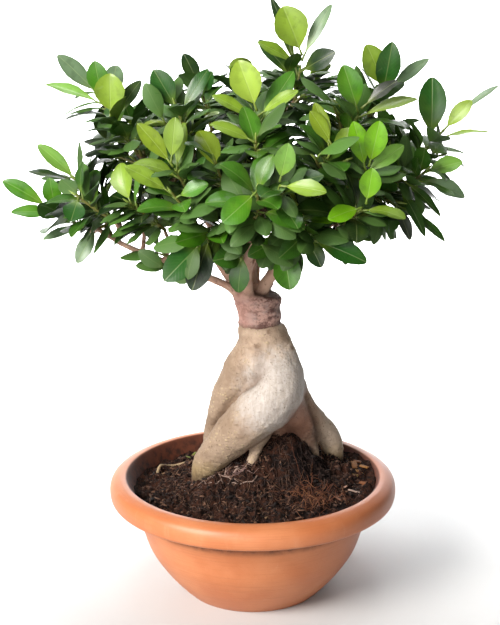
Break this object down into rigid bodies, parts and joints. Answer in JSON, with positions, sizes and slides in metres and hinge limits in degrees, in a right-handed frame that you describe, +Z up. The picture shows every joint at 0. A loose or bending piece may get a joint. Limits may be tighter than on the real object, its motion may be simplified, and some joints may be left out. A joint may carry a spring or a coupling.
{
  "type": "ficus ginseng bonsai",
  "caption": "Grafted ginseng ficus bonsai with swollen aerial roots, cut stub and leafy crown, standing in soil in a round rolled-rim bowl pot.",
  "frame": {"origin": "centre of the pot's underside, on the surface that it stands on", "axes": "+Z up, -Y the front that shows the thick slanting root, +X to the right of that front"},
  "size_m": [0.3622, 0.2588, 0.4494],
  "materials": {
    "pot_terracotta": "satin",
    "soil": "matte",
    "rootstock_bark": "matte",
    "scion_bark": "matte",
    "leaf_mature": "satin",
    "leaf_young": "satin"
  },
  "bodies": {
    "root": {"bowl": "pot_terracotta", "soil": "soil", "grafting_roots": "rootstock_bark", "stub_and_branches": "scion_bark", "leafy_shoot_01": "leaf_mature", "young_leaves_01": "leaf_young", "leafy_shoot_02": "leaf_mature", "leafy_shoot_03": "leaf_mature", "leafy_shoot_04": "leaf_mature", "young_leaves_04": "leaf_young", "leafy_shoot_05": "leaf_mature", "leafy_shoot_06": "leaf_mature", "young_leaves_06": "leaf_young", "leafy_shoot_07": "leaf_mature", "leafy_shoot_08": "leaf_mature", "leafy_shoot_09": "leaf_mature", "leafy_shoot_10": "leaf_mature", "leafy_shoot_11": "leaf_mature", "young_leaves_11": "leaf_young", "leafy_shoot_12": "leaf_mature", "leafy_shoot_13": "leaf_mature", "young_leaves_13": "leaf_young", "leafy_shoot_14": "leaf_mature", "young_leaves_14": "leaf_young", "leafy_shoot_15": "leaf_mature", "young_leaves_15": "leaf_young", "leafy_shoot_16": "leaf_mature", "young_leaves_16": "leaf_young", "leafy_shoot_17": "leaf_mature", "young_leaves_17": "leaf_young", "leafy_shoot_18": "leaf_mature", "young_leaves_18": "leaf_young", "leafy_shoot_19": "leaf_mature", "young_leaves_19": "leaf_young", "leafy_shoot_20": "leaf_mature", "young_leaves_20": "leaf_young", "leafy_shoot_21": "leaf_mature", "leafy_shoot_22": "leaf_mature", "leafy_shoot_23": "leaf_mature", "leafy_shoot_24": "leaf_mature", "leafy_shoot_25": "leaf_mature", "leafy_shoot_26": "leaf_mature", "leafy_shoot_27": "leaf_mature", "leafy_shoot_28": "leaf_mature", "leafy_shoot_29": "leaf_mature", "leafy_shoot_30": "leaf_mature", "leafy_shoot_31": "leaf_mature", "leafy_shoot_32": "leaf_mature", "leafy_shoot_33": "leaf_mature", "leafy_shoot_34": "leaf_mature", "leafy_shoot_35": "leaf_mature", "leafy_shoot_36": "leaf_mature", "leafy_shoot_37": "leaf_mature", "leafy_shoot_38": "leaf_mature", "leafy_shoot_39": "leaf_mature", "young_leaves_39": "leaf_young", "leafy_shoot_40": "leaf_mature", "leafy_shoot_41": "leaf_mature", "leafy_shoot_42": "leaf_mature"}
  },
  "joints": []
}
